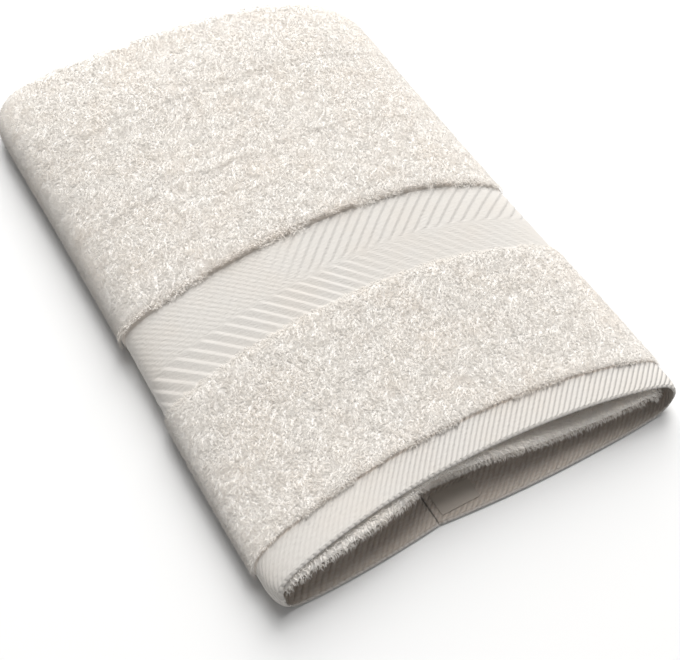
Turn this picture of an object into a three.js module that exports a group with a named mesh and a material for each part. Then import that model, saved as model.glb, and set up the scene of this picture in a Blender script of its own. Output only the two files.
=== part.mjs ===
// A cotton terry bath sheet, folded for the shelf.
//
// It is one woven cloth with a flat ribbed hem at each end and a woven chevron border behind it.
// The cloth is folded back and forth end to end into three layers. Then both sides are folded
// under, so that the selvages meet beneath and the front is an open, flattened tube mouth.
// A bare woven label lies on the inner face of the hem, beside the meeting selvages.
//
// Frame: millimetres, +Z up, the flat underside at z = 0, the open mouth towards -Y and the
// rounded back fold towards +Y. Lengths called "at" run back from the mouth, along the cloth.

import * as THREE from 'three';

// ---- Driving dimensions ----------------------------------------------------------------------

const FOLDED = { width: 434, length: 608, backCorner: 55, frontCorner: 10 };
const CLOTH = { layers: 3, thickness: 6.6, gap: 0.9 };  // thickness over the pile of both faces
const FLAT = { hem: 31, borderFrom: 180, borderTo: 275, recess: 2.8, step: 2 };
const SIDE = { lowerRadius: 20, leastRadius: 3, roundness: 3 };
const TOP_HEM = { back: 7, rise: 0.4, fade: 180 };  // the top hem lies back from the folds in it
const INNER = { underSetback: 52, fade: 180, rightInset: 11, endShort: 6 };
const SEAM = { x: -52, gap: 3 };
const FRONT = { bulge: 5, bulgePower: 6, seamNotch: 7, notchReach: 150, fade: 120 };
const LABEL = { width: 40, depth: 20, thickness: 0.6, seat: 0.35, fromSeam: 5, fromMouth: 8 };
const TURN_STEPS = 6;
const CORNER_REACH = 0.95;  // share of its quarter turn that a corner makes

// How the folded sheet swells from its mouth to its back fold: the height of its crown, how far
// the top is drawn back in the middle and to which side that leans, and how far each side stands out.
const SWELL = [
  { at: 0,   height: 46, bow: 22, lean: -0.1, left: -3.5, right: 1 },
  { at: 40,  height: 42, bow: 25, lean: 0,    left: -3,   right: 1 },
  { at: 110, height: 45, bow: 29, lean: 0.1,  left: -2,   right: 0 },
  { at: 190, height: 50, bow: 32, lean: 0.2,  left: -2.5, right: -3 },
  { at: 300, height: 54, bow: 30, lean: 0.4,  left: -3.5, right: -6 },
  { at: 420, height: 54, bow: 25, lean: 0.6,  left: -3.5, right: -6 },
  { at: 520, height: 53, bow: 20, lean: 0.8,  left: -2.5, right: -5 },
  { at: 608, height: 44, bow: 16, lean: 0.95, left: -2,   right: -3 },
];

// How the front of the inner folds lies across the mouth, from its left to its right: how far back
// from the mouth's edge it is, and how far it hangs down.
const HANG = [
  { x: -205, back: 3, drop: 0 },
  { x: -140, back: 0, drop: 0 },
  { x: -90,  back: 1, drop: 0 },
  { x: -50,  back: 7, drop: 0 },
  { x: 0,    back: 4, drop: 1 },
  { x: 50,   back: 0, drop: 6 },
  { x: 100,  back: 0, drop: 11 },
  { x: 150,  back: 1, drop: 7 },
  { x: 195,  back: 5, drop: 0 },
];
const HANG_FADE = 70;

// The loop that each cross-section makes, from one selvage to the other, as steps per stretch.
const LOOP = [
  { stretch: 'leftPanel', steps: 3 },
  { stretch: 'leftFoot', steps: 3 },
  { stretch: 'leftCrown', steps: 9 },
  { stretch: 'rightCrown', steps: 9 },
  { stretch: 'rightFoot', steps: 3 },
  { stretch: 'rightPanel', steps: 4 },
];

const COTTON = { color: '#ece5db', roughness: 0.95, metalness: 0 };
const SATIN = { color: '#e9e3da', roughness: 0.6, metalness: 0 };

// ---- Small helpers ---------------------------------------------------------------------------

const clamp01 = (value) => Math.min(Math.max(value, 0), 1);
const ease = (value) => clamp01(value) ** 2 * (3 - 2 * clamp01(value));
const tallest = Math.max(...SWELL.map((row) => row.height));

/** Reads one column of a table at a length, on a smooth curve through its rows. */
function read(table, column, at, along = 'at') {
  const last = table.length - 2;
  let i = 0;
  while (i < last && at > table[i + 1][along]) i += 1;
  const slope = (k) => {
    const before = table[Math.max(k - 1, 0)];
    const after = table[Math.min(k + 1, table.length - 1)];
    return (after[column] - before[column]) / (after[along] - before[along]);
  };
  const [p, q] = [table[i], table[i + 1]];
  const span = q[along] - p[along];
  const t = clamp01((at - p[along]) / span);
  return (2 * t ** 3 - 3 * t ** 2 + 1) * p[column] + (t ** 3 - 2 * t ** 2 + t) * span * slope(i)
    + (3 * t ** 2 - 2 * t ** 3) * q[column] + (t ** 3 - t ** 2) * span * slope(i + 1);
}

/** How far a side has drawn in at a rounded corner: "along" runs from 0 to 1 over the corner. */
function cornerInset(radius, along) {
  return radius * (1 - Math.sqrt(1 - (clamp01(along) * CORNER_REACH) ** 2));
}

/** Half the folded width of the layer at a depth, with the corners rounded in plan. */
function halfWidth(side, depth, at) {
  const backRadius = FOLDED.backCorner - depth;
  const backStart = FOLDED.length - FOLDED.backCorner;
  return FOLDED.width / 2 + read(SWELL, side, at) - depth
    - cornerInset(backRadius, (at - backStart) / backRadius)
    - cornerInset(FOLDED.frontCorner, 1 - at / (2 * FOLDED.frontCorner));
}

/** How far the flat-woven hem and border lie below the pile: 1 inside them, 0 in the terry. */
function flatWeave(at) {
  const within = (from, to) => clamp01((at - from) / FLAT.step) * clamp01((to - at) / FLAT.step);
  return Math.max(1 - clamp01((at - FLAT.hem) / FLAT.step), within(FLAT.borderFrom, FLAT.borderTo));
}

/** One quarter of the crown, as [run, rise] from its widest point (0) to its top (1). */
function crownQuarter(share) {
  const middle = 0.5 ** (1 / SIDE.roundness);
  const other = (value) => (1 - value ** SIDE.roundness) ** (1 / SIDE.roundness);
  if (share < 0.5) return [other(middle * 2 * share), middle * 2 * share];
  return [middle * 2 * (1 - share), other(middle * 2 * (1 - share))];
}

// ---- The folded shape ------------------------------------------------------------------------

/** A point of the cross-section at a length: where on the loop, and how deep inside the stack. */
function loopPoint(stretch, share, depth, at) {
  const height = read(SWELL, 'height', at);
  const deep = depth * height / tallest;
  const left = stretch.startsWith('left');
  const slack = depth > CLOTH.thickness + CLOTH.gap / 2 && !left ? INNER.rightInset : 0;
  const half = halfWidth(left ? 'left' : 'right', deep, at) - slack * (1 - ease(at / INNER.fade));
  const foot = Math.max(SIDE.lowerRadius - deep, SIDE.leastRadius);
  const shoulder = deep + foot;
  let run = 0;
  let z = deep;
  if (stretch.endsWith('Panel')) {
    const selvage = left ? SEAM.gap / 2 - SEAM.x : SEAM.gap / 2 + SEAM.x;
    run = THREE.MathUtils.lerp(selvage, half - foot, share);
  } else if (stretch.endsWith('Foot')) {
    run = half - foot + foot * Math.sin(share * Math.PI / 2);
    z = shoulder - foot * Math.cos(share * Math.PI / 2);
  } else {
    const [across, up] = crownQuarter(share);
    run = half * across;
    z = shoulder + (height - deep - shoulder) * up;
  }
  return new THREE.Vector2(left ? -run : run, z);
}

/** Draws the top back in the middle, and shapes the lower front edge round the meeting selvages. */
function lengthwise(point, at) {
  const across = point.x / (FOLDED.width / 2);
  const middle = Math.max(1 - across ** 2, 0);
  const upper = ease(point.y / read(SWELL, 'height', at));
  const drawnBack = read(SWELL, 'bow', at) * upper * middle * (1 + read(SWELL, 'lean', at) * across);
  const nearSeam = clamp01(1 - Math.abs(point.x - SEAM.x) / FRONT.notchReach);
  const forward = FRONT.bulge * Math.max(1 - across ** FRONT.bulgePower, 0) - FRONT.seamNotch * nearSeam ** 2;
  const fade = (1 - upper) * (1 - ease(at / FRONT.fade));
  return at - FOLDED.length / 2 + drawnBack - forward * fade;
}

/** Every step of the loop as [stretch, share], once each. The right side runs downwards. */
function loopSteps() {
  const steps = [];
  for (const { stretch, steps: count } of LOOP) {
    const downwards = stretch.startsWith('right');
    for (let i = steps.length ? 1 : 0; i <= count; i += 1) {
      steps.push([stretch, downwards ? 1 - i / count : i / count]);
    }
  }
  return steps;
}

// ---- The back-and-forth section of the cloth ---------------------------------------------------

const layerTop = (layer) => layer * (CLOTH.thickness + CLOTH.gap);
const layerUnder = (layer) => layerTop(layer) + CLOTH.thickness;

// Rows of points along a face of the cloth: closer where it turns, and at every weave's edge.
const ROWS = [8, 18, 31, 47, 65, 86, 112, 145, 228, 320, 365, 410, 455, 500, 535, 555, 568, 579, 588, 595];
const WEAVE_EDGES = [FLAT.hem, FLAT.borderFrom, FLAT.borderTo - FLAT.step];
const LEAST_ROW = 4;

function faceRows(from, to, layer) {
  const edges = WEAVE_EDGES.flatMap((at) => [at, at + FLAT.step]);
  const rows = layer === 0 ? [...edges, ...ROWS] : ROWS;
  const within = rows.filter((at) => at > from + LEAST_ROW && at < to - LEAST_ROW);
  return [from, ...within, to].sort((a, b) => a - b);
}

/** Points of a half-round turn from one depth to another; "out" is +1 at the back, -1 in front. */
function turn(at, fromDepth, toDepth, out, steps) {
  const radius = (toDepth - fromDepth) / 2;
  return Array.from({ length: steps - 1 }, (_, i) => {
    const angle = ((i + 1) / steps) * Math.PI;
    const reach = Math.abs(radius) * Math.sin(angle);
    return { at: at + out * reach, depth: fromDepth + radius * (1 - Math.cos(angle)) };
  });
}

/** The closed outline of the three layers: how far back and how deep each of its points lies. */
function foldedSection() {
  const roundTurn = CLOTH.thickness + CLOTH.gap / 2;
  const backTurn = FOLDED.length - roundTurn;
  const end = FOLDED.length - roundTurn - INNER.endShort;
  const face = (from, to, depth, layer) => faceRows(from, to, layer).map((at) => ({ at, depth }));
  const inner = (points) => points.map((point) => ({ ...point, setBack: true }));
  return [
    ...face(0, backTurn, layerTop(0), 0).map((point) => ({ ...point, side: 'outer' })),
    ...turn(backTurn, layerTop(0), layerUnder(1), 1, TURN_STEPS),
    ...inner(face(roundTurn, backTurn, layerUnder(1), 1)).reverse(),
    ...inner(turn(roundTurn, layerUnder(1), layerTop(2), -1, 2)),
    ...inner(face(roundTurn, end, layerTop(2), 2)),
    ...inner(face(roundTurn, end, layerUnder(2), 2)).reverse(),
    ...inner(turn(roundTurn, layerUnder(2), layerTop(1), -1, TURN_STEPS)),
    ...inner(face(roundTurn, backTurn, layerTop(1), 1)),
    ...turn(backTurn, layerTop(1), layerUnder(0), 1, 2),
    ...face(0, backTurn, layerUnder(0), 0).reverse().map((point) => ({ ...point, side: 'inner' })),
  ];
}

/** Moves a point of the section to its place on the folded sheet. */
function place(point, [stretch, share]) {
  const upper = { Panel: 0, Foot: ease(share), Crown: 1 }[stretch.replace(/left|right/, '')];
  // The hem and border lie low where they face up, and thin from inside where they lie beneath.
  const recess = FLAT.recess * flatWeave(point.at);
  let depth = point.depth;
  if (point.side === 'outer') depth += recess * upper;
  if (point.side === 'inner') depth -= recess * (1 - upper);
  if (!point.setBack) {
    const raised = upper === 1 ? ease(share / TOP_HEM.rise) : 0;
    const at = point.at + TOP_HEM.back * raised * (1 - ease(point.at / TOP_HEM.fade));
    const spot = loopPoint(stretch, share, depth, at);
    return [spot.x, lengthwise(spot, at), spot.y];
  }
  const { x } = loopPoint(stretch, share, depth, point.at);
  const setBack = THREE.MathUtils.lerp(INNER.underSetback, read(HANG, 'back', x, 'x'), upper);
  const at = point.at + setBack * (1 - ease(point.at / INNER.fade));
  const spot = loopPoint(stretch, share, depth, at);
  const sag = read(HANG, 'drop', x, 'x') * upper * (1 - ease(at / HANG_FADE));
  return [spot.x, lengthwise(spot, at), spot.y - sag];
}

/** The whole cloth: the folded section carried round the loop, closed at both selvages. */
function clothGeometry() {
  const section = foldedSection();
  const steps = loopSteps();
  const positions = steps.flatMap((step) => section.flatMap((point) => place(point, step)));
  const count = section.length;
  const index = [];
  for (let i = 0; i < steps.length - 1; i += 1) {
    for (let j = 0; j < count; j += 1) {
      const next = (j + 1) % count;
      const [a, b, c, d] = [i * count + j, i * count + next, (i + 1) * count + next, (i + 1) * count + j];
      // Faces that lie together are split along the same diagonal, whichever way their rows run.
      if (section[next].at < section[j].at) index.push(a, d, b, b, d, c);
      else index.push(a, c, b, a, d, c);
    }
  }
  const selvage = (step) => section.map((point) => new THREE.Vector2(...place(point, steps[step]).slice(1)));
  const last = steps.length - 1;
  for (const [a, b, c] of THREE.ShapeUtils.triangulateShape(selvage(0), [])) index.push(a, b, c);
  for (const corners of THREE.ShapeUtils.triangulateShape(selvage(last), [])) {
    const [a, b, c] = corners.map((corner) => corner + last * count);
    index.push(a, c, b);
  }
  const geometry = new THREE.BufferGeometry();
  geometry.setAttribute('position', new THREE.Float32BufferAttribute(positions, 3));
  geometry.setIndex(index);
  geometry.computeVertexNormals();
  return geometry;
}

// ---- Pieces ----------------------------------------------------------------------------------

function makeCloth() {
  const cloth = new THREE.Mesh(clothGeometry(), new THREE.MeshStandardMaterial(COTTON));
  cloth.name = 'terry_cloth';
  return cloth;
}

/** A bare woven label, lying on the hem's inner face beside the selvage of the right panel. */
function makeLabel() {
  const geometry = new THREE.BoxGeometry(LABEL.width, LABEL.depth, LABEL.thickness);
  const label = new THREE.Mesh(geometry, new THREE.MeshStandardMaterial(SATIN));
  const hemTop = (CLOTH.thickness - FLAT.recess) * read(SWELL, 'height', 0) / tallest;
  const x = SEAM.x + SEAM.gap / 2 + LABEL.fromSeam + LABEL.width / 2;
  const at = LABEL.fromMouth + LABEL.depth / 2;
  const y = lengthwise(new THREE.Vector2(x, hemTop), at);
  label.position.set(x, y, hemTop + LABEL.seat + LABEL.thickness / 2);
  label.name = 'woven_label';
  return label;
}

const bathSheet = new THREE.Group();
bathSheet.add(makeCloth(), makeLabel());

// The origin is under the middle of the folded sheet, on the surface that it lies on.
const box = new THREE.Box3().setFromObject(bathSheet);
const middle = box.getCenter(new THREE.Vector3());
bathSheet.position.set(-middle.x, -middle.y, -box.min.z);

export default bathSheet;
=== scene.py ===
# A folded cotton terry bath sheet with a chevron border and ribbed hems, over its CAD frame.
import bmesh
import bpy
import math
import numpy as np
from mathutils import Matrix, Vector


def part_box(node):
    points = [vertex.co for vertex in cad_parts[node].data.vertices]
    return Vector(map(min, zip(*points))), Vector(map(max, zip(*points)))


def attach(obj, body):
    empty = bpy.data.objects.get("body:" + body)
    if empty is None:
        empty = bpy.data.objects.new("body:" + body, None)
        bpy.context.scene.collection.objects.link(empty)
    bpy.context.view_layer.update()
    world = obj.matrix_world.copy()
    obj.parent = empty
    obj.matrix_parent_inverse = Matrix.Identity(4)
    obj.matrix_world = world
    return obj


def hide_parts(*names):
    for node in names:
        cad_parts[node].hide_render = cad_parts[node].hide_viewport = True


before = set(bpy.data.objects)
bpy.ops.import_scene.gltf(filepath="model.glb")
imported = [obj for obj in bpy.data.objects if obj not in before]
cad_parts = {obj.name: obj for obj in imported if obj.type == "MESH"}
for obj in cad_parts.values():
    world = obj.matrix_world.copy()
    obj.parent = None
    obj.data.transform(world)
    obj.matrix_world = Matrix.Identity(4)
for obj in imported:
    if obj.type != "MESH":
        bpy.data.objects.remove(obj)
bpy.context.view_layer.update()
scene = bpy.context.scene

# ---- Camera ----------------------------------------------------------------------------------
# A long lens looks down on the sheet from in front and to its left, a little turned about its
# own axis, so that the open mouth runs across the lower right of the view.
SENSOR = 36.0
LENS = 55.6
AIM = Vector((-0.0329, -0.1082, 0.020))
DISTANCE = 0.9619
AZIMUTH, ELEVATION, ROLL = (math.radians(angle) for angle in (-41.0, 52.75, 12.19))


def place_camera():
    back = Vector((math.sin(AZIMUTH) * math.cos(ELEVATION),
                   -math.cos(AZIMUTH) * math.cos(ELEVATION),
                   math.sin(ELEVATION)))
    right = (-back).cross(Vector((0, 0, 1))).normalized()
    up = right.cross(-back)
    across = right * math.cos(ROLL) + up * math.sin(ROLL)
    upward = up * math.cos(ROLL) - right * math.sin(ROLL)
    lens = bpy.data.cameras.new("camera")
    lens.sensor_width, lens.lens = SENSOR, LENS
    camera = bpy.data.objects.new("camera", lens)
    turned = Matrix((across, upward, back)).transposed()
    camera.matrix_world = Matrix.Translation(AIM + back * DISTANCE) @ turned.to_4x4()
    scene.collection.objects.link(camera)
    scene.camera = camera


place_camera()

# ---- The cloth -------------------------------------------------------------------------------
# One cotton cloth, woven flat: a double-turned ribbed hem at each end, a chevron border behind it
# and terry between. It is folded back and forth end to end into three layers, and then both sides
# are folded under until the selvages meet. The folding is worked out in millimetres.
MM = 0.001
CLOTH = {"width": 889, "length": 1778, "thickness": 6.6, "gap": 0.9}
FOLDED = {"width": 434, "length": 608, "back_corner": 55, "front_corner": 10}
SIDE = {"lower_radius": 20, "least_radius": 3, "roundness": 3}
TOP_HEM = {"back": 7, "rise": 0.4, "fade": 180}
INNER = {"under_setback": 52, "fade": 180, "right_inset": 11, "end_short": 6}
SEAM = {"x": -52, "gap": 1}
FRONT = {"bulge": 5, "bulge_power": 6, "seam_notch": 7, "notch_reach": 150, "fade": 120}
CORNER_REACH = 0.95
SWELL = [
    {"at": 0, "height": 46, "bow": 22, "lean": -0.1, "left": -3.5, "right": 1},
    {"at": 40, "height": 42, "bow": 25, "lean": 0, "left": -3, "right": 1},
    {"at": 110, "height": 45, "bow": 29, "lean": 0.1, "left": -2, "right": 0},
    {"at": 190, "height": 50, "bow": 32, "lean": 0.2, "left": -2.5, "right": -3},
    {"at": 300, "height": 54, "bow": 30, "lean": 0.4, "left": -3.5, "right": -6},
    {"at": 420, "height": 54, "bow": 25, "lean": 0.6, "left": -3.5, "right": -6},
    {"at": 520, "height": 53, "bow": 20, "lean": 0.8, "left": -2.5, "right": -5},
    {"at": 608, "height": 44, "bow": 16, "lean": 0.95, "left": -2, "right": -3},
]
TALLEST = max(row["height"] for row in SWELL)
HANG = [
    {"x": -205, "back": 3, "drop": 0},
    {"x": -140, "back": 0, "drop": 0},
    {"x": -90, "back": 1, "drop": 0},
    {"x": -50, "back": 7, "drop": 0},
    {"x": 0, "back": 4, "drop": 1},
    {"x": 50, "back": 0, "drop": 6},
    {"x": 100, "back": 0, "drop": 11},
    {"x": 150, "back": 1, "drop": 7},
    {"x": 195, "back": 5, "drop": 0},
]
HANG_FADE = 70


def clamp01(value):
    return np.clip(value, 0.0, 1.0)


def ease(value):
    return clamp01(value) ** 2 * (3 - 2 * clamp01(value))


def read(table, column, at, along="at"):
    """A column of a table at any length, on a smooth curve through its rows."""
    rows = np.array([row[along] for row in table], float)
    values = np.array([row[column] for row in table], float)
    before = np.maximum(np.arange(len(rows)) - 1, 0)
    after = np.minimum(np.arange(len(rows)) + 1, len(rows) - 1)
    slopes = (values[after] - values[before]) / (rows[after] - rows[before])
    i = np.clip(np.searchsorted(rows, at, side="left") - 1, 0, len(rows) - 2)
    span = rows[i + 1] - rows[i]
    t = clamp01((at - rows[i]) / span)
    return ((2 * t ** 3 - 3 * t ** 2 + 1) * values[i] + (t ** 3 - 2 * t ** 2 + t) * span * slopes[i]
            + (3 * t ** 2 - 2 * t ** 3) * values[i + 1] + (t ** 3 - t ** 2) * span * slopes[i + 1])


def corner_inset(radius, along):
    return radius * (1 - np.sqrt(1 - (clamp01(along) * CORNER_REACH) ** 2))


def half_width(left, depth, at):
    """Half the folded width of the layer at a depth, with the corners rounded in plan."""
    back_radius = FOLDED["back_corner"] - depth
    back_start = FOLDED["length"] - FOLDED["back_corner"]
    stands_out = np.where(left, read(SWELL, "left", at), read(SWELL, "right", at))
    return (FOLDED["width"] / 2 + stands_out - depth
            - corner_inset(back_radius, (at - back_start) / back_radius)
            - corner_inset(FOLDED["front_corner"], 1 - at / (2 * FOLDED["front_corner"])))


def crown_quarter(share):
    """One quarter of the crown, as (run, rise) from its widest point (0) to its top (1)."""
    middle = 0.5 ** (1 / SIDE["roundness"])

    def other(value):
        return (1 - np.clip(value, 0, 1) ** SIDE["roundness"]) ** (1 / SIDE["roundness"])

    low, high = middle * 2 * share, middle * 2 * (1 - share)
    return np.where(share < 0.5, other(low), high), np.where(share < 0.5, low, other(high))


# The loop's stretches as lengths of cloth on one side: the crown from its top to its widest point,
# the rounded foot under it, and the panel beneath as far as the selvage.
MEAN_CROWN = {"run": 210, "rise": 31}
MEAN_FOOT = 17
CROWN_SHARES = np.linspace(1, 0, 400)
CROWN_RUN, CROWN_RISE = crown_quarter(CROWN_SHARES)
CROWN_ARC = np.r_[0, np.cumsum(np.hypot(np.diff(CROWN_RUN * MEAN_CROWN["run"]),
                                        np.diff(CROWN_RISE * MEAN_CROWN["rise"])))]
CROWN = CROWN_ARC[-1]
FOOT = MEAN_FOOT * math.pi / 2
PANEL = {"left": 136.0, "right": 238.0}
SIDES = CROWN + FOOT
SELVAGE = {"left": -(SIDES + PANEL["left"]), "right": SIDES + PANEL["right"]}


def faces_up(s):
    """1 where the cloth is on top or at a side and 0 beneath: s is mm from the top's middle."""
    return ease(1 - (np.abs(s) - CROWN) / FOOT)


def fold(s, at, depth):
    """Where cloth lies on the folded sheet, in mm: s across it from the top's middle, at behind the
    mouth, and depth under the pile's tips."""
    s, at, depth = np.broadcast_arrays(*(np.asarray(value, float) for value in (s, at, depth)))
    left, out = s < 0, np.abs(s)
    height = read(SWELL, "height", at)
    deep = depth * height / TALLEST
    inner = depth > CLOTH["thickness"] + CLOTH["gap"] / 2
    slack = np.where(inner & ~left, INNER["right_inset"], 0) * (1 - ease(at / INNER["fade"]))
    half = half_width(left, deep, at) - slack
    foot = np.maximum(SIDE["lower_radius"] - deep, SIDE["least_radius"])
    shoulder = deep + foot
    across, rise = crown_quarter(np.interp(out, CROWN_ARC, CROWN_SHARES))
    turned = clamp01(1 - (out - CROWN) / FOOT) * math.pi / 2
    panel_share = 1 - (out - SIDES) / np.where(left, PANEL["left"], PANEL["right"])
    selvage = SEAM["gap"] / 2 + np.where(left, -SEAM["x"], SEAM["x"])
    run = np.select(
        [out < CROWN, out < SIDES],
        [half * across, half - foot + foot * np.sin(turned)],
        selvage + (half - foot - selvage) * panel_share)
    z = np.select(
        [out < CROWN, out < SIDES],
        [shoulder + (height - deep - shoulder) * rise, shoulder - foot * np.cos(turned)],
        deep)
    x = np.where(left, -run, run)
    xi = x / (FOLDED["width"] / 2)
    upper = ease(z / height)
    drawn_back = (read(SWELL, "bow", at) * upper * np.maximum(1 - xi ** 2, 0)
                  * (1 + read(SWELL, "lean", at) * xi))
    near_seam = clamp01(1 - np.abs(x - SEAM["x"]) / FRONT["notch_reach"])
    forward = (FRONT["bulge"] * np.maximum(1 - xi ** FRONT["bulge_power"], 0)
               - FRONT["seam_notch"] * near_seam ** 2)
    y = (at - FOLDED["length"] / 2 + drawn_back
         - forward * (1 - upper) * (1 - ease(at / FRONT["fade"])))
    return np.stack([x, y, z], -1)


# The pile's tips lie on the CAD solid's skin, so the two lowest corners give the place of both.
SKIN_ACROSS = np.linspace(SELVAGE["left"], SELVAGE["right"], 400)
SKIN_ALONG = np.linspace(0, FOLDED["length"], 300)
SKIN = fold(*np.meshgrid(SKIN_ACROSS, SKIN_ALONG), 0)
SHIFT = np.array(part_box("terry_cloth")[0]) - SKIN.reshape(-1, 3).min(0) * MM

# The back-and-forth section: the middle of each layer and the two round turns between them.
TURN = (CLOTH["thickness"] + CLOTH["gap"]) / 2
MOUTH_TURN = CLOTH["thickness"] + CLOTH["gap"] / 2
BACK_TURN = FOLDED["length"] - MOUTH_TURN
BEND = TURN * math.pi
STARTS = np.cumsum([0, BACK_TURN, BEND, BACK_TURN - MOUTH_TURN, BEND,
                    BACK_TURN - MOUTH_TURN - INNER["end_short"]])


def lay(s, t, proud):
    """Where a point of the cloth lies, in metres: s and t across and along it in mm, and how far it
    stands proud of the cloth's middle, towards the face that is outermost in the top layer."""
    first_turn = clamp01((t - STARTS[1]) / BEND) * math.pi
    second_turn = clamp01((t - STARTS[3]) / BEND) * math.pi
    middle = CLOTH["thickness"] / 2
    at = np.select(
        [t < STARTS[2], t < STARTS[4]],
        [np.minimum(t, BACK_TURN) + (TURN + proud) * np.sin(first_turn),
         np.maximum(BACK_TURN - (t - STARTS[2]), MOUTH_TURN)
         - (TURN - proud) * np.sin(second_turn)],
        MOUTH_TURN + t - STARTS[4])
    depth = np.where(t < STARTS[2], middle + TURN - (TURN + proud) * np.cos(first_turn),
                     middle + 3 * TURN - (TURN - proud) * np.cos(second_turn))
    up, x = faces_up(s), fold(s, at, depth)[..., 0]
    raised = ease(np.interp(np.abs(s), CROWN_ARC, CROWN_SHARES) / TOP_HEM["rise"])
    set_back = INNER["under_setback"] + (read(HANG, "back", x, "x") - INNER["under_setback"]) * up
    at = at + np.where(t < STARTS[2], TOP_HEM["back"] * raised * (1 - ease(at / TOP_HEM["fade"])),
                       set_back * (1 - ease(at / INNER["fade"])))
    place = fold(s, at, depth)
    hangs = read(HANG, "drop", x, "x") * up * (1 - ease(at / HANG_FADE))
    place[..., 2] -= np.where(t < STARTS[2], 0, hangs)
    return place * MM + SHIFT


# The flat weaves: a hem of ribs that run along the cloth, and a border of louvred ribs in two rows
# that meet in chevrons. Both lie lower than the terry's ground, which carries the pile.
FLAT = {"hem": 31, "border_from": 180, "border_to": 275, "step": 2, "soft_step": 7}
HEM_RIB = {"per_mm_across": 0.172, "per_mm_along": 0.18, "height": 0.4, "fullness": 0.8, "fade": 3}
LOUVRE = {"per_mm_across": 0.076, "behind": 0.086, "before": 0.072, "height": 0.65, "apex": 223,
          "plain": 1.5, "edge": 1, "fade": 3, "rising": 0.78, "falling": 0.22}
# Washing has pressed the ribs flatter at one side: to the least share of their height at flat_at,
# from where they grow to their full height over the given stretch.
PRESSED = {
    "behind": {"height": 1.2, "least": 0.22, "flat_at": -75, "over": 60},
    "before": {"height": 1.0, "least": 0.3, "flat_at": 45, "over": -70},
    "hem": {"height": 1.0, "least": 0.5, "flat_at": -130, "over": 90},
}
# The pile ends unevenly along two lines, where the ground is drawn down.
GROOVE = {"deep": 1.0, "half": 1.0, "least": 0.35,
          "lines": (FLAT["hem"] + 1, FLAT["border_to"] - 0.8)}
WAVERING = [
    {"height": 0.45, "per_mm": 0.06, "shift": 1},
    {"height": 0.35, "per_mm": 0.17, "shift": 2},
    {"height": 0.3, "per_mm": 0.41, "shift": 3},
]
# The depth of the cloth's two faces under the pile's tips: the outermost face, then the inner one.
DEPTHS = {
    "terry": (1.2, 3.8), "terry_beneath": (0.9, 2.6),
    "border": (2.8, 4.2), "border_beneath": (1.6, 3.0),
    "hem": (2.8, 6.6), "hem_beneath": (0.3, 3.8),
    "inner": (1.7, 3.1),
}


def in_hem(t):
    return 1 - clamp01((t - FLAT["hem"]) / FLAT["step"])


def in_border(t):
    return (ease((t - FLAT["border_from"]) / FLAT["soft_step"])
            * clamp01((FLAT["border_to"] - t) / FLAT["step"]))


def pressed(s, row):
    full = ease((s - row["flat_at"]) / row["over"])
    return row["height"] * (row["least"] + (1 - row["least"]) * full)


def louvre_phase(s, t):
    """How many of the border's ribs lie between a point and the middle of the cloth."""
    slope = np.where(t > LOUVRE["apex"], LOUVRE["behind"], LOUVRE["before"])
    return s * LOUVRE["per_mm_across"] - np.abs(t - LOUVRE["apex"]) * slope


def louvre_relief(s, t):
    """How proud the border's ribs are. Both rows end a little short of the plain lines."""
    ends = (clamp01((np.abs(t - LOUVRE["apex"]) - LOUVRE["plain"]) / LOUVRE["fade"])
            * clamp01((t - FLAT["border_from"] - LOUVRE["edge"]) / LOUVRE["fade"])
            * clamp01((FLAT["border_to"] - LOUVRE["edge"] - t) / LOUVRE["fade"]))
    return ends * np.where(t > LOUVRE["apex"], pressed(s, PRESSED["behind"]),
                           pressed(s, PRESSED["before"]))


def louvres(s, t):
    """Height of the border's ribs: each rises slowly across its width and ends in a sharp drop."""
    share = louvre_phase(s, t) % 1
    profile = np.minimum(share / LOUVRE["rising"], (1 - share) / LOUVRE["falling"])
    return LOUVRE["height"] * (profile - 0.5) * louvre_relief(s, t)


def hem_phase(s, t, through):
    """How many of the hem's twill ribs lie between a point and the middle of the mouth. They slant
    one way outside and the other way within."""
    slant = np.where(through < 0.5, -1, 1)
    return s * HEM_RIB["per_mm_across"] + t * HEM_RIB["per_mm_along"] * slant


def hem_relief(s, through):
    return np.where(through < 0.5, pressed(s, PRESSED["hem"]), 1)


def hem_ribs(s, t, through):
    wave = np.abs(np.cos(hem_phase(s, t, through) * math.pi)) ** HEM_RIB["fullness"]
    return HEM_RIB["height"] * (wave - 0.5) * hem_relief(s, through)


def uneven(s, start):
    """How far the pile has drawn back from a line across the cloth, 0 to 1, in no regular order."""
    waves = (wave["height"] * np.sin(s * wave["per_mm"] + wave["shift"] * start)
             for wave in WAVERING)
    return clamp01(sum(waves, 0.5))


def grooves(s, t):
    """Where the pile ends at a flat weave, the ground is drawn down in a narrow, uneven groove."""
    deep = 0
    for start, line in enumerate(GROOVE["lines"]):
        drawn = GROOVE["least"] + (1 - GROOVE["least"]) * uneven(s, start)
        deep = deep + GROOVE["deep"] * drawn * np.exp(-((t - line) / GROOVE["half"]) ** 2)
    return deep


def face_depth(s, t, face):
    """Depth of a face of the cloth under the pile's tips: face 0 is outermost, and 1 is inside."""
    up = faces_up(s)

    def between(above, beneath):
        return DEPTHS[above][face] * up + DEPTHS[beneath][face] * (1 - up)

    deep = between("terry", "terry_beneath")
    deep = deep + (DEPTHS["inner"][face] - deep) * ease((t - STARTS[1]) / BEND)
    deep = deep + (between("border", "border_beneath") - deep) * in_border(t)
    return deep + (between("hem", "hem_beneath") - deep) * in_hem(t)


# Points that lie nearer to each other than this, in mm, are on one line.
CLOSE = 0.01


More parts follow.
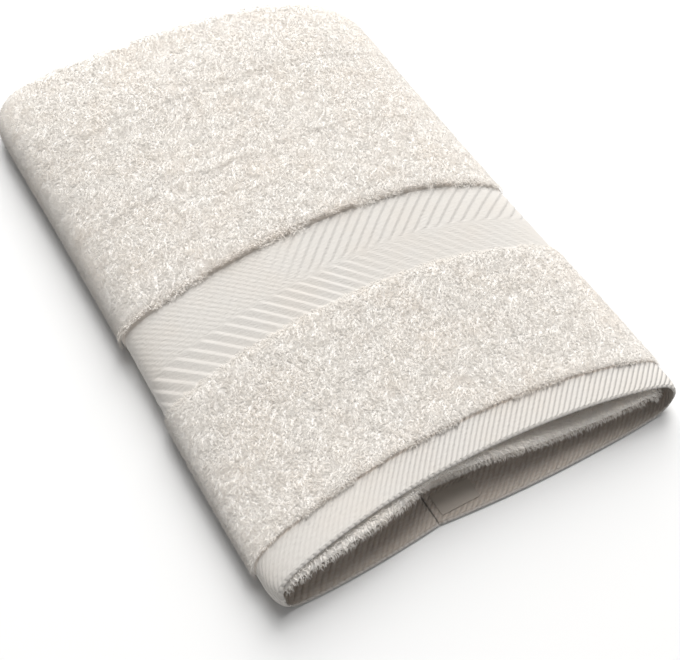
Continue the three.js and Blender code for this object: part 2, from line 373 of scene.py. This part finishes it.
def place_cloth(s, t, through):
    """Places points of the slab: through is 0 at its outermost face and 1 at its inner one. The
    hem's end is rounded."""
    depth = face_depth(s, t, 0) * (1 - through) + face_depth(s, t, 1) * through
    towards = 1 - 2 * through
    depth = depth - towards * hem_ribs(s, t, through) * in_hem(t) * clamp01(t / HEM_RIB["fade"])
    drawn = grooves(s, t) * faces_up(s) - louvres(s, t) * (in_border(t) > 0)
    depth = depth + drawn * (through == 0)
    hem_half = (DEPTHS["hem"][1] - DEPTHS["hem"][0]) / 2
    rounded = hem_half * (1 - np.sin(through * math.pi))
    t = np.where(t < CLOSE, rounded, np.maximum(t, hem_half))
    return lay(s, t, CLOTH["thickness"] / 2 - depth)


# Lines along and across the flat cloth, in mm. Those on top and at the sides lie closest.
TOP_LINES, TOP_STEP = 40, 6.3
SIDE_LINE = TOP_LINES * TOP_STEP
ACROSS = np.r_[np.linspace(SELVAGE["left"], -SIDE_LINE, 10)[:-1],
               np.arange(-TOP_LINES, TOP_LINES + 1) * TOP_STEP,
               np.linspace(SIDE_LINE, SELVAGE["right"], 17)[1:]]
BORDER_ROWS = 15
BORDER_STEP = (FLAT["border_to"] - FLAT["border_from"] - 2 * FLAT["step"]) / BORDER_ROWS
ALONG = np.r_[0, 2.2, np.linspace(3.5, FLAT["hem"], 20), FLAT["hem"] + 1, 33.5,
              np.linspace(43, 170, 14), FLAT["border_from"],
              np.arange(BORDER_ROWS + 1) * BORDER_STEP + FLAT["border_from"] + FLAT["step"],
              FLAT["border_to"], np.linspace(285, BACK_TURN, 30),
              np.linspace(STARTS[1], STARTS[2], 7)[1:], np.linspace(STARTS[2], STARTS[3], 22)[1:],
              np.linspace(STARTS[3], STARTS[4], 7)[1:], np.linspace(STARTS[4], STARTS[5], 18)[1:]]
CUTS = {"hem_on_top": 5, "hem_beneath": 13, "rim": 3, "border": 4}


def points_of(bm):
    return np.array([vert.co for vert in bm.verts], float)


def between_lines(bm, low, high, through=None):
    """Edges between two lines across the flat cloth, on one face of the slab or on both."""
    chosen = []
    for edge in bm.edges:
        a, b = (vert.co for vert in edge.verts)
        if min(a.y, b.y) < low - CLOSE or max(a.y, b.y) > high + CLOSE:
            continue
        if through is None or (abs(a.z + through) < CLOSE and abs(b.z + through) < CLOSE):
            chosen.append(edge)
    return chosen


def weave_cloth():
    """The cloth as a flat slab, with lines enough for its weaves. It is folded once it is made."""
    bm = bmesh.new()
    bmesh.ops.create_grid(bm, x_segments=len(ACROSS) - 1, y_segments=len(ALONG) - 1, size=0.5)
    for vert in bm.verts:
        column = round((vert.co.x + 0.5) * (len(ACROSS) - 1))
        row = round((vert.co.y + 0.5) * (len(ALONG) - 1))
        vert.co = (ACROSS[column], ALONG[row], 0)
    made = bmesh.ops.extrude_face_region(bm, geom=bm.faces[:])["geom"]
    inner = [part for part in made if isinstance(part, bmesh.types.BMVert)]
    bmesh.ops.translate(bm, verts=inner, vec=(0, 0, -1))
    bmesh.ops.recalc_face_normals(bm, faces=bm.faces[:])

    def span(edge, axis):
        return abs(edge.verts[0].co[axis] - edge.verts[1].co[axis])

    def on_top(edge):
        return max(abs(vert.co.x) for vert in edge.verts) < SIDE_LINE + 1

    hem = [edge for edge in between_lines(bm, 0, FLAT["hem"] + 1)
           if span(edge, 1) < CLOSE and span(edge, 2) < CLOSE]
    outside = [edge for edge in hem if on_top(edge) and edge.verts[0].co.z > -0.5]
    beneath = [edge for edge in hem if not on_top(edge) and edge.verts[0].co.z < -0.5]
    bmesh.ops.subdivide_edges(bm, edges=outside, cuts=CUTS["hem_on_top"], use_grid_fill=True)
    bmesh.ops.subdivide_edges(bm, edges=beneath, cuts=CUTS["hem_beneath"], use_grid_fill=True)
    rim = [edge for edge in between_lines(bm, 0, 0) if span(edge, 2) > 0.5]
    bmesh.ops.subdivide_edges(bm, edges=rim, cuts=CUTS["rim"], use_grid_fill=True)
    low, high = FLAT["border_from"] + FLAT["step"], FLAT["border_to"] - FLAT["step"]
    border = [edge for edge in between_lines(bm, low, high, through=0) if on_top(edge)]
    bmesh.ops.subdivide_edges(bm, edges=border, cuts=CUTS["border"], use_grid_fill=True)
    return bm


# The colours of the cotton, and its patches, which are a little warmer or a little greyer.
WOVEN_IVORY = (0.66, 0.632, 0.595)
PILE_IVORY = (0.955, 0.925, 0.885)
# Painted shade: a warm brown laid into the grooves where the pile ends and over the hem's inner
# face, for the shadow that falls there.
PAINTED_SHADE_BROWN = (0.46, 0.36, 0.28)
PATCHES = [
    {"per_metre": 22, "tint": (1.0, 0.965, 0.93, 1), "strength": 0.45},
    {"per_metre": 38, "tint": (0.96, 0.965, 0.97, 1), "strength": 0.25},
]
PATCH_FADE = (0.42, 0.68)
STRAND_TONES = (0.95, 1.03)


def cotton_shades():
    """Node group: the ivory of undyed combed cotton in patches, and each strand's own tone."""
    group = bpy.data.node_groups.new("cotton_shades", "ShaderNodeTree")
    group.interface.new_socket("Ivory", in_out="INPUT", socket_type="NodeSocketColor")
    group.interface.new_socket("Fine", in_out="INPUT", socket_type="NodeSocketFloat")
    group.interface.new_socket("Color", in_out="OUTPUT", socket_type="NodeSocketColor")
    new, link = group.nodes.new, group.links.new
    given, result = new("NodeGroupInput"), new("NodeGroupOutput")
    place = new("ShaderNodeTexCoord")
    color = given.outputs["Ivory"]
    for row in PATCHES:
        patches = new("ShaderNodeTexNoise")
        patches.inputs["Scale"].default_value = row["per_metre"]
        patches.inputs["Detail"].default_value = 3
        link(place.outputs["Object"], patches.inputs["Vector"])
        spread = new("ShaderNodeMapRange")
        spread.inputs["From Min"].default_value = PATCH_FADE[0]
        spread.inputs["From Max"].default_value = PATCH_FADE[1]
        spread.inputs["To Max"].default_value = row["strength"]
        link(patches.outputs["Fac"], spread.inputs["Value"])
        mix = new("ShaderNodeMix")
        mix.data_type, mix.blend_type = "RGBA", "MULTIPLY"
        link(spread.outputs["Result"], mix.inputs["Factor"])
        link(color, mix.inputs[6])
        mix.inputs[7].default_value = row["tint"]
        color = mix.outputs[2]
    tone = new("ShaderNodeMapRange")
    tone.inputs["To Min"].default_value = STRAND_TONES[0]
    tone.inputs["To Max"].default_value = STRAND_TONES[1]
    link(given.outputs["Fine"], tone.inputs["Value"])
    toned = new("ShaderNodeVectorMath")
    toned.operation = "SCALE"
    link(color, toned.inputs[0])
    link(tone.outputs["Result"], toned.inputs["Scale"])
    link(toned.outputs["Vector"], result.inputs["Color"])
    return group


COTTON_SHADES = cotton_shades()


def cotton(name, ivory):
    """A cotton finish: matt, with a little fibre sheen. Returns it and what it is wired with."""
    material = bpy.data.materials.new(name)
    material.use_nodes = True
    nodes, link = material.node_tree.nodes, material.node_tree.links.new
    shader = nodes["Principled BSDF"]
    shader.inputs["Roughness"].default_value = 0.9
    shader.inputs["Specular IOR Level"].default_value = 0.25
    shader.inputs["Sheen Weight"].default_value = 0.25
    shader.inputs["Sheen Roughness"].default_value = 0.6
    shades = nodes.new("ShaderNodeGroup")
    shades.node_tree = COTTON_SHADES
    shades.inputs["Ivory"].default_value = (*ivory, 1)
    shades.inputs["Fine"].default_value = 0.65
    link(shades.outputs["Color"], shader.inputs["Base Color"])
    return material, nodes, link, shader, shades


# What is too fine for the mesh: the twill's threads, the edges of the ribs, and the slanting floats
# between the border's ribs behind its apex. Distances and heights are in mm.
TWILL = [
    {"per_metre": (190, 560), "turn": -20, "weight": 0.7},
    {"per_metre": (420, 1300), "turn": 45, "weight": 0.3},
]
TWILL_BUMP = {"distance": 0.75, "strength": 0.8}
RIB_BUMP = {"distance": 1.1, "strength": 0.9}
LOUVRE_BUMP = {"share": 0.3, "rising": 0.72, "falling": 0.28}
FLOATS = {"per_metre": 224, "slant": -46, "share": 0.13, "distortion": 1.4, "detail": 2,
          "from": -15, "over": -60}
# A wave texture with a scale of 1 has about this many waves to the metre.
WAVES_PER_SCALE = 3.2


def woven_cotton():
    """The ground, hem and border: twill floats in the cloth's own lines, and painted shade, a warm
    brown, in the grooves where the pile ends and on the hem's inner face."""
    material, nodes, link, shader, shades = cotton("woven_cotton", WOVEN_IVORY)

    def value(kind, *given):
        node = nodes.new("ShaderNodeMath")
        node.operation = kind
        for number, part in enumerate(given):
            if isinstance(part, (int, float)):
                node.inputs[number].default_value = part
            else:
                link(part, node.inputs[number])
        return node.outputs[0]

    def shown(name):
        node = nodes.new("ShaderNodeAttribute")
        node.attribute_name = name
        return node.outputs["Fac"]

    def turned(lines, angle, scale=(1, 1, 1)):
        node = nodes.new("ShaderNodeMapping")
        node.inputs["Rotation"].default_value = (0, 0, math.radians(angle))
        node.inputs["Scale"].default_value = scale
        link(lines.outputs["UV"], node.inputs["Vector"])
        return node.outputs["Vector"]

    def bumped(height, bump, over=None):
        node = nodes.new("ShaderNodeBump")
        node.inputs["Strength"].default_value = bump["strength"]
        node.inputs["Distance"].default_value = bump["distance"] * MM
        link(height, node.inputs["Height"])
        if over:
            link(over, node.inputs["Normal"])
        return node.outputs["Normal"]

    def tinted(color, share, tint):
        mix = nodes.new("ShaderNodeMix")
        mix.data_type = "RGBA"
        mix.inputs[7].default_value = (*tint, 1)
        link(color, mix.inputs[6])
        link(share, mix.inputs["Factor"])
        return mix.outputs[2]

    lines = nodes.new("ShaderNodeUVMap")
    lines.uv_map = "cloth"
    twill = 0
    for row in TWILL:
        threads = nodes.new("ShaderNodeTexNoise")
        threads.inputs["Scale"].default_value = 1
        threads.inputs["Detail"].default_value = 1
        link(turned(lines, row["turn"], (*row["per_metre"], 1)), threads.inputs["Vector"])
        twill = value("MULTIPLY_ADD", threads.outputs["Fac"], row["weight"], twill)

    ribs = nodes.new("ShaderNodeUVMap")
    ribs.uv_map = "ribs"
    split = nodes.new("ShaderNodeSeparateXYZ")
    link(ribs.outputs["UV"], split.inputs[0])
    phase, relief = split.outputs["X"], split.outputs["Y"]
    rounded = value("ABSOLUTE", value("COSINE", value("MULTIPLY", phase, math.pi)))
    share = value("FRACT", phase)
    louvred = value("MINIMUM", value("DIVIDE", share, LOUVRE_BUMP["rising"]),
                    value("DIVIDE", value("SUBTRACT", 1.0, share), LOUVRE_BUMP["falling"]))
    louvred = value("ADD", value("MULTIPLY", louvred, LOUVRE_BUMP["share"]),
                    0.5 - LOUVRE_BUMP["share"] / 2)
    kind = nodes.new("ShaderNodeMix")
    link(shown("border"), kind.inputs["Factor"])
    link(rounded, kind.inputs[2])
    link(louvred, kind.inputs[3])
    relieved = value("MULTIPLY", value("SUBTRACT", kind.outputs[0], 0.5), relief)

    floats = nodes.new("ShaderNodeTexWave")
    floats.inputs["Scale"].default_value = FLOATS["per_metre"] / WAVES_PER_SCALE
    floats.inputs["Distortion"].default_value = FLOATS["distortion"]
    floats.inputs["Detail Scale"].default_value = FLOATS["detail"]
    link(turned(lines, FLOATS["slant"]), floats.inputs["Vector"])
    floating = value("MULTIPLY", value("MULTIPLY", floats.outputs["Fac"], shown("floats")),
                     FLOATS["share"])
    ribbed = bumped(value("ADD", relieved, floating), RIB_BUMP)
    link(bumped(twill, TWILL_BUMP, over=ribbed), shader.inputs["Normal"])

    color = tinted(shades.outputs["Color"], shown("terry"), PILE_IVORY)
    # Painted shade: warm brown in the grooves where the pile ends and on the hem's inner face.
    color = tinted(color, value("MULTIPLY", shown("painted_shade"), twill), PAINTED_SHADE_BROWN)
    link(color, shader.inputs["Base Color"])
    return material


def finish_mesh(name, bm, smooth=True):
    mesh = bpy.data.meshes.new(name)
    bm.to_mesh(mesh)
    bm.free()
    if smooth:
        mesh.shade_smooth()
    piece = bpy.data.objects.new(name, mesh)
    scene.collection.objects.link(piece)
    return piece


# How strongly the painted shade shows in a groove, and the share of the slab past which it is inner
# face.
PAINTED_SHADE_IN_GROOVE = 2.6
INNER_FACE = 0.9


def make_sheet():
    """Folds the slab, with the places of its ribs as a second UV map and its weaves as shares."""
    bm = weave_cloth()
    lines, ribs = bm.loops.layers.uv.new("cloth"), bm.loops.layers.uv.new("ribs")
    bm.verts.index_update()
    flat = points_of(bm)
    s, t, through = flat[:, 0], flat[:, 1], -flat[:, 2]
    near_hem = t < FLAT["border_from"] / 2
    phases = np.where(near_hem, hem_phase(s, t, through), louvre_phase(s, t))
    reliefs = np.where(near_hem, hem_relief(s, through) * in_hem(t),
                       louvre_relief(s, t) * in_border(t) * (through < 0.5))
    for face in bm.faces:
        for loop in face.loops:
            number = loop.vert.index
            loop[lines].uv = loop.vert.co.xy * MM
            loop[ribs].uv = (phases[number], reliefs[number])
    for vert, place in zip(bm.verts, place_cloth(s, t, through)):
        vert.co = place
    cloth = finish_mesh("bath_sheet", bm)
    shares = {
        "terry": (1 - in_hem(t)) * (1 - in_border(t)),
        "border": in_border(t) > 0,
        "floats": (in_border(t) * (t > LOUVRE["apex"])
                   * ease((s - FLOATS["from"]) / FLOATS["over"])),
        # Where shade is painted: in the grooves where the pile ends, and over the hem's inner face.
        "painted_shade": np.maximum(PAINTED_SHADE_IN_GROOVE * grooves(s, t) / GROOVE["deep"],
                          (through > INNER_FACE) * in_hem(t)),
    }
    for name, share in shares.items():
        values = cloth.data.attributes.new(name, "FLOAT", "POINT").data
        values.foreach_set("value", clamp01(share))
    return cloth


sheet = make_sheet()
sheet.data.materials.append(woven_cotton())
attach(sheet, "root")
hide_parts("terry_cloth")

# ---- The pile --------------------------------------------------------------------------------
# Combed cotton loops, cut long and washed soft: thousands of short bent tufts that stand on the
# ground weave, lean over the flat weaves beside them and hang a little down the sides.

# A tuft's rows from its foot to its tip, in mm: along the ground, up from it, and half its width.
# The ridge is how far the middle of its back stands up.
LYING = [
    {"reach": 0.0, "rise": -0.3, "half": 0.0, "ridge": 0.0},
    {"reach": 1.5, "rise": 0.75, "half": 0.42, "ridge": 0.0},
    {"reach": 3.8, "rise": 1.25, "half": 0.0, "ridge": 0.0},
]
HANGING = [
    {"reach": 0.0, "rise": -0.3, "half": 0.35, "ridge": 0.1},
    {"reach": 2.0, "rise": 2.2, "half": 0.6, "ridge": 0.25},
    {"reach": 5.6, "rise": 3.6, "half": 0.0, "ridge": 0.0},
]
# How far each tuft stands up from its lean, strays from it, and follows the swirls of the nap.
RAISED = 0.3
STRAY = {"standing": 0.22, "turned": 0.7}
SWIRL = {"per_metre": 70, "amount": 1.5}
TUFT_SIZES = (0.72, 1.18)
SEEDS = {"standing": 3, "turned": 4, "size": 5, "tone": 9}
MOST_TUFTS_PER_M2 = 4e6


def make_tuft(rows):
    """One tuft, which rises from its foot and then bends over to its tip. It is a flat blade, or
    has a rounded back where its rows have a ridge."""
    bm = bmesh.new()
    rounded = any(row["ridge"] for row in rows)
    bmesh.ops.create_grid(bm, x_segments=len(rows) - 1, y_segments=1 + rounded, size=0.5)
    for number, row in enumerate(rows):
        share = number / (len(rows) - 1) - 0.5
        verts = [vert for vert in bm.verts if abs(vert.co.x - share) < CLOSE]
        back = [vert for vert in verts if abs(vert.co.y) < CLOSE]
        bmesh.ops.translate(bm, verts=back, vec=(0, 0, row["ridge"] * MM))
        bmesh.ops.scale(bm, verts=verts, vec=(1, 2 * row["half"] * MM, 1))
        bmesh.ops.translate(bm, verts=verts, vec=(row["reach"] * MM - share, 0, row["rise"] * MM))
    bmesh.ops.remove_doubles(bm, verts=bm.verts[:], dist=CLOSE * MM)
    return finish_mesh("tuft", bm)


def pile_nodes():
    """Scatters tufts over a patch of ground: they follow its lean, with some stray of their own."""
    tree = bpy.data.node_groups.new("pile", "GeometryNodeTree")
    tree.interface.new_socket("Ground", in_out="INPUT", socket_type="NodeSocketGeometry")
    sockets = {}
    for name, kind in (("Spacing", "NodeSocketFloat"), ("Seed", "NodeSocketInt"),
                       ("Size", "NodeSocketFloat"), ("Tuft", "NodeSocketObject")):
        socket = tree.interface.new_socket(name, in_out="INPUT", socket_type=kind)
        sockets[name] = socket.identifier
    tree.interface.new_socket("Pile", in_out="OUTPUT", socket_type="NodeSocketGeometry")
    new, link = tree.nodes.new, tree.links.new
    given, result = new("NodeGroupInput"), new("NodeGroupOutput")

    scatter = new("GeometryNodeDistributePointsOnFaces")
    scatter.distribute_method = "POISSON"
    scatter.inputs["Density Max"].default_value = MOST_TUFTS_PER_M2
    link(given.outputs["Ground"], scatter.inputs["Mesh"])
    link(given.outputs["Spacing"], scatter.inputs["Distance Min"])
    link(given.outputs["Seed"], scatter.inputs["Seed"])

    def added(start, *parts):
        for part in parts:
            add = new("ShaderNodeVectorMath")
            link(start, add.inputs[0])
            link(part, add.inputs[1])
            start = add.outputs["Vector"]
        return start

    def stray(kind):
        amount = STRAY[kind]
        node = new("FunctionNodeRandomValue")
        node.data_type = "FLOAT_VECTOR"
        node.inputs[0].default_value, node.inputs[1].default_value = (-amount,) * 3, (amount,) * 3
        node.inputs["Seed"].default_value = SEEDS[kind]
        return node.outputs[0]

    def swirl():
        noise = new("ShaderNodeTexNoise")
        noise.inputs["Scale"].default_value = SWIRL["per_metre"]
        noise.inputs["Detail"].default_value = 2
        centred = new("ShaderNodeVectorMath")
        centred.operation = "MULTIPLY_ADD"
        centred.inputs[1].default_value = (2 * SWIRL["amount"],) * 3
        centred.inputs[2].default_value = (-SWIRL["amount"],) * 3
        link(noise.outputs["Color"], centred.inputs[0])
        return centred.outputs["Vector"]

    lean = new("GeometryNodeInputNamedAttribute")
    lean.data_type = "FLOAT_VECTOR"
    lean.inputs["Name"].default_value = "lean"
    raised = new("ShaderNodeVectorMath")
    raised.operation = "SCALE"
    raised.inputs["Scale"].default_value = -RAISED
    link(lean.outputs["Attribute"], raised.inputs[0])
    stand = new("FunctionNodeAlignRotationToVector")
    stand.axis = "Z"
    link(added(scatter.outputs["Normal"], stray("standing"), raised.outputs["Vector"]),
         stand.inputs["Vector"])
    turn = new("FunctionNodeAlignRotationToVector")
    turn.axis, turn.pivot_axis = "X", "Z"
    link(stand.outputs["Rotation"], turn.inputs["Rotation"])
    link(added(lean.outputs["Attribute"], swirl(), stray("turned")), turn.inputs["Vector"])

    length = new("FunctionNodeRandomValue")
    length.inputs[2].default_value, length.inputs[3].default_value = TUFT_SIZES
    length.inputs["Seed"].default_value = SEEDS["size"]
    size = new("ShaderNodeMath")
    size.operation = "MULTIPLY"
    link(length.outputs[1], size.inputs[0])
    link(given.outputs["Size"], size.inputs[1])
    strand = new("GeometryNodeObjectInfo")
    link(given.outputs["Tuft"], strand.inputs["Object"])
    ground = new("GeometryNodeStoreNamedAttribute")
    ground.data_type, ground.domain = "FLOAT_VECTOR", "POINT"
    ground.inputs["Name"].default_value = "ground"
    link(scatter.outputs["Points"], ground.inputs["Geometry"])
    link(scatter.outputs["Normal"], ground.inputs["Value"])
    tufts = new("GeometryNodeInstanceOnPoints")
    link(ground.outputs["Geometry"], tufts.inputs["Points"])
    link(strand.outputs["Geometry"], tufts.inputs["Instance"])
    link(turn.outputs["Rotation"], tufts.inputs["Rotation"])
    link(size.outputs[0], tufts.inputs["Scale"])
    tone = new("GeometryNodeStoreNamedAttribute")
    tone.domain = "INSTANCE"
    tone.inputs["Name"].default_value = "tone"
    shade = new("FunctionNodeRandomValue")
    shade.inputs["Seed"].default_value = SEEDS["tone"]
    link(tufts.outputs["Instances"], tone.inputs["Geometry"])
    link(shade.outputs[1], tone.inputs["Value"])
    real = new("GeometryNodeRealizeInstances")
    link(tone.outputs["Geometry"], real.inputs["Geometry"])
    link(real.outputs["Geometry"], result.inputs["Pile"])
    return tree, sockets


# Which way the pile is combed: shares of a lean along the cloth, across it and down its sides, how
# much more it leans over the flat weaves, and the way the tufts hang from the inner fold.
NAP = {"forward": -0.3, "aside": -0.2, "down": -1.6, "side_from": 150, "side_over": 70,
       "over_hem": 1.6, "hem_reach": 5, "over_border": 1.8, "border_reach": 6}
MOUTH_LEAN = (0.0, -0.7, -1.0)
PILE_STEP = 6.0
RAGGED = 3.5


def leaning(s, t, face):
    """Which way the pile leans: forward and a little to the left, over the hem and the border in
    front of it, and down the sides."""
    ahead = lay(s, t + 1.0, 0) - lay(s, t - 1.0, 0)
    ahead = ahead / np.linalg.norm(ahead, axis=-1, keepdims=True)
    if face:
        return np.broadcast_to(MOUTH_LEAN, ahead.shape)
    over_hem = np.exp(-np.maximum(t - FLAT["hem"], 0) / NAP["hem_reach"])
    over_border = (np.exp(-np.abs(t - FLAT["border_to"]) / NAP["border_reach"])
                   * (t >= FLAT["border_to"] - 1))
    along = NAP["forward"] - NAP["over_hem"] * over_hem - NAP["over_border"] * over_border
    side = ease((np.abs(s) - NAP["side_from"]) / NAP["side_over"])
    aside = np.stack([NAP["aside"] * (1 - side), 0 * s, NAP["down"] * side], -1)
    return ahead * along[..., None] + aside


def make_pile(name, across, along, tuft, face=0, seed=1, size=1.0, spacing=0.67):
    """The pile of one stretch of terry, between two lines across the cloth and two along it. Its
    front line is ragged in step with the groove there."""
    steps = [max(round((high - low) / PILE_STEP), 1) for low, high in (across, along)]
    bm = bmesh.new()
    bmesh.ops.create_grid(bm, x_segments=steps[0], y_segments=steps[1], size=0.5)
    flat = points_of(bm) + 0.5
    s = across[0] + flat[:, 0] * (across[1] - across[0])
    t = along[0] + flat[:, 1] * (along[1] - along[0])
    if not face:
        front_line = t < along[0] + PILE_STEP / 2
        t = t - RAGGED * (1 - uneven(s, int(along[0] > FLAT["border_to"]))) * front_line
    places = lay(s, t, CLOTH["thickness"] / 2 - face_depth(s, t, face))
    for vert, place in zip(bm.verts, places):
        vert.co = place
    if face:
        bmesh.ops.reverse_faces(bm, faces=bm.faces[:])
    ground = finish_mesh(name, bm)
    ground.data.attributes.new("lean", "FLOAT_VECTOR", "POINT").data.foreach_set(
        "vector", leaning(s, t, face).ravel())
    pile = ground.modifiers.new("pile", "NODES")
    pile.node_group = PILE_TREE
    given = {"Spacing": spacing * MM, "Seed": seed, "Size": size, "Tuft": tuft}
    for socket, value in given.items():
        pile[PILE_SOCKETS[socket]] = value
    ready = ground.evaluated_get(bpy.context.evaluated_depsgraph_get())
    mesh = bpy.data.meshes.new_from_object(ready)
    ground.modifiers.clear()
    ground.data = mesh
    mesh.name = name
    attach(ground, "root")
    return ground


# How far a strand is shaded like the ground under it, and the share of light that passes through.
SOFT_NORMAL = {"pile": 0.95, "fringe": 0.0}
THROUGH = 0.5


def pile_cotton(name, softened):
    """The pile's strands: soft cotton, each a little lighter or darker than its neighbours."""
    material, nodes, link, shader, shades = cotton(name, PILE_IVORY)
    tone = nodes.new("ShaderNodeAttribute")
    tone.attribute_name = "tone"
    link(tone.outputs["Fac"], shades.inputs["Fine"])
    ground = nodes.new("ShaderNodeAttribute")
    ground.attribute_name = "ground"
    own = nodes.new("ShaderNodeNewGeometry")
    soft = nodes.new("ShaderNodeMix")
    soft.data_type = "VECTOR"
    soft.inputs["Factor"].default_value = softened
    link(own.outputs["Normal"], soft.inputs[4])
    link(ground.outputs["Vector"], soft.inputs[5])
    unit = nodes.new("ShaderNodeVectorMath")
    unit.operation = "NORMALIZE"
    link(soft.outputs[1], unit.inputs[0])
    link(unit.outputs["Vector"], shader.inputs["Normal"])
    through = nodes.new("ShaderNodeBsdfTranslucent")
    link(shades.outputs["Color"], through.inputs["Color"])
    both = nodes.new("ShaderNodeMixShader")
    both.inputs["Fac"].default_value = THROUGH
    link(shader.outputs["BSDF"], both.inputs[1])
    link(through.outputs["BSDF"], both.inputs[2])
    link(both.outputs["Shader"], nodes["Material Output"].inputs["Surface"])
    return material


lying, hanging = make_tuft(LYING), make_tuft(HANGING)
lying.data.materials.append(pile_cotton("pile_cotton", SOFT_NORMAL["pile"]))
hanging.data.materials.append(pile_cotton("fringe_cotton", SOFT_NORMAL["fringe"]))
PILE_TREE, PILE_SOCKETS = pile_nodes()
# Where the stretches of pile begin and end, in mm along the cloth.
BEHIND_HEM, BEFORE_BORDER, BEHIND_BORDER, MIDDLE_END, UPPER_END = 34, 187, 276, 385, 495
TOP = (-SIDES, SIDES)
MOUTH_PAST = {"sides": 30, "turn_start": 24, "turn_end": 8}
pile = [
    make_pile("pile_front", TOP, (BEHIND_HEM, BEFORE_BORDER), lying, seed=1),
    make_pile("pile_middle", TOP, (BEHIND_BORDER, MIDDLE_END), lying, seed=2),
    make_pile("pile_upper", TOP, (MIDDLE_END, UPPER_END), lying, seed=3),
    make_pile("pile_back", TOP, (UPPER_END, STARTS[2] + 4), lying, seed=4),
    make_pile("pile_over_border", TOP, (BEHIND_BORDER, BEHIND_BORDER + 4), hanging, seed=6,
              size=0.9, spacing=1.3),
    make_pile("pile_over_hem", TOP, (BEHIND_HEM, BEHIND_HEM + 3), hanging, seed=7,
              size=0.7, spacing=1.7),
    make_pile("pile_mouth", (-SIDES - MOUTH_PAST["sides"], SIDES + MOUTH_PAST["sides"]),
              (STARTS[3] - MOUTH_PAST["turn_start"], STARTS[4] + MOUTH_PAST["turn_end"]),
              hanging, face=1, seed=5, spacing=1.15),
]
for tuft in (lying, hanging):
    bpy.data.objects.remove(tuft)

# ---- The label -------------------------------------------------------------------------------
# A bare strip of beige satin ribbon, hot-cut at its ends, sewn flat along its edges to the hem's
# inner face beside the seam.
LABEL = {"bevel": 0.18, "threads_per_metre": 900, "thread_height": 0.05}


def satin():
    """A fine smooth ribbon with close threads across it."""
    material = bpy.data.materials.new("label_ribbon")
    material.use_nodes = True
    nodes, link = material.node_tree.nodes, material.node_tree.links.new
    shader = nodes["Principled BSDF"]
    # Its beige is darkened with painted shade, to the brown of the hem's inner face around it.
    shader.inputs["Base Color"].default_value = (0.45, 0.40, 0.35, 1)
    shader.inputs["Roughness"].default_value = 0.65
    shader.inputs["Sheen Weight"].default_value = 0.2
    place = nodes.new("ShaderNodeTexCoord")
    threads = nodes.new("ShaderNodeTexWave")
    threads.inputs["Scale"].default_value = LABEL["threads_per_metre"] / WAVES_PER_SCALE
    link(place.outputs["Object"], threads.inputs["Vector"])
    bump = nodes.new("ShaderNodeBump")
    bump.inputs["Strength"].default_value = 0.4
    bump.inputs["Distance"].default_value = LABEL["thread_height"] * MM
    link(threads.outputs["Fac"], bump.inputs["Height"])
    link(bump.outputs["Normal"], shader.inputs["Normal"])
    return material


def make_label():
    low, high = (Vector(corner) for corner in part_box("woven_label"))
    bm = bmesh.new()
    bmesh.ops.create_cube(bm, size=1, matrix=Matrix.LocRotScale((low + high) / 2, None, high - low))
    bmesh.ops.bevel(bm, geom=bm.edges[:], offset=LABEL["bevel"] * MM, affect="EDGES", segments=2,
                    profile=0.5, material=-1)
    ribbon = finish_mesh("woven_ribbon", bm, smooth=False)
    ribbon.data.materials.append(satin())
    return ribbon


label = make_label()
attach(label, "root")
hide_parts("woven_label")

# ---- Floor and light -------------------------------------------------------------------------
# The sheet lies on a pale matt floor. A broad lamp far behind it and to its right, a second one
# high above and a pale surround light it evenly.
FLOOR = {"half": 4, "white": (0.86, 0.86, 0.86, 1)}
LAMP_WHITE = (1.0, 0.995, 0.985)
LAMPS = [
    {"name": "key", "place": (3.8, 6.4, 5.2), "size": 8.0, "power": 1000},
    {"name": "high", "place": (0.8, 3.0, 7.4), "size": 4.8, "power": 330},
]
SURROUND = 0.21


def make_floor():
    bm = bmesh.new()
    bmesh.ops.create_grid(bm, x_segments=1, y_segments=1, size=FLOOR["half"])
    floor = finish_mesh("floor", bm, smooth=False)
    white = bpy.data.materials.new("white_floor")
    white.use_nodes = True
    shader = white.node_tree.nodes["Principled BSDF"]
    shader.inputs["Base Color"].default_value = FLOOR["white"]
    shader.inputs["Roughness"].default_value = 0.9
    floor.data.materials.append(white)


def hang_lamp(name, place, size, power):
    """A round lamp that faces the sheet."""
    lamp = bpy.data.lights.new(name, "AREA")
    lamp.shape, lamp.size, lamp.energy, lamp.color = "DISK", size, power, LAMP_WHITE
    light = bpy.data.objects.new(name, lamp)
    light.location = place
    light.rotation_mode = "QUATERNION"
    light.rotation_quaternion = (-Vector(place)).to_track_quat("-Z", "Y")
    scene.collection.objects.link(light)


make_floor()
for lamp in LAMPS:
    hang_lamp(**lamp)

world = bpy.data.worlds.new("studio")
scene.world = world
world.use_nodes = True
world.node_tree.nodes["Background"].inputs["Color"].default_value = (1, 1, 1, 1)
world.node_tree.nodes["Background"].inputs["Strength"].default_value = SURROUND
scene.view_settings.view_transform = "Standard"
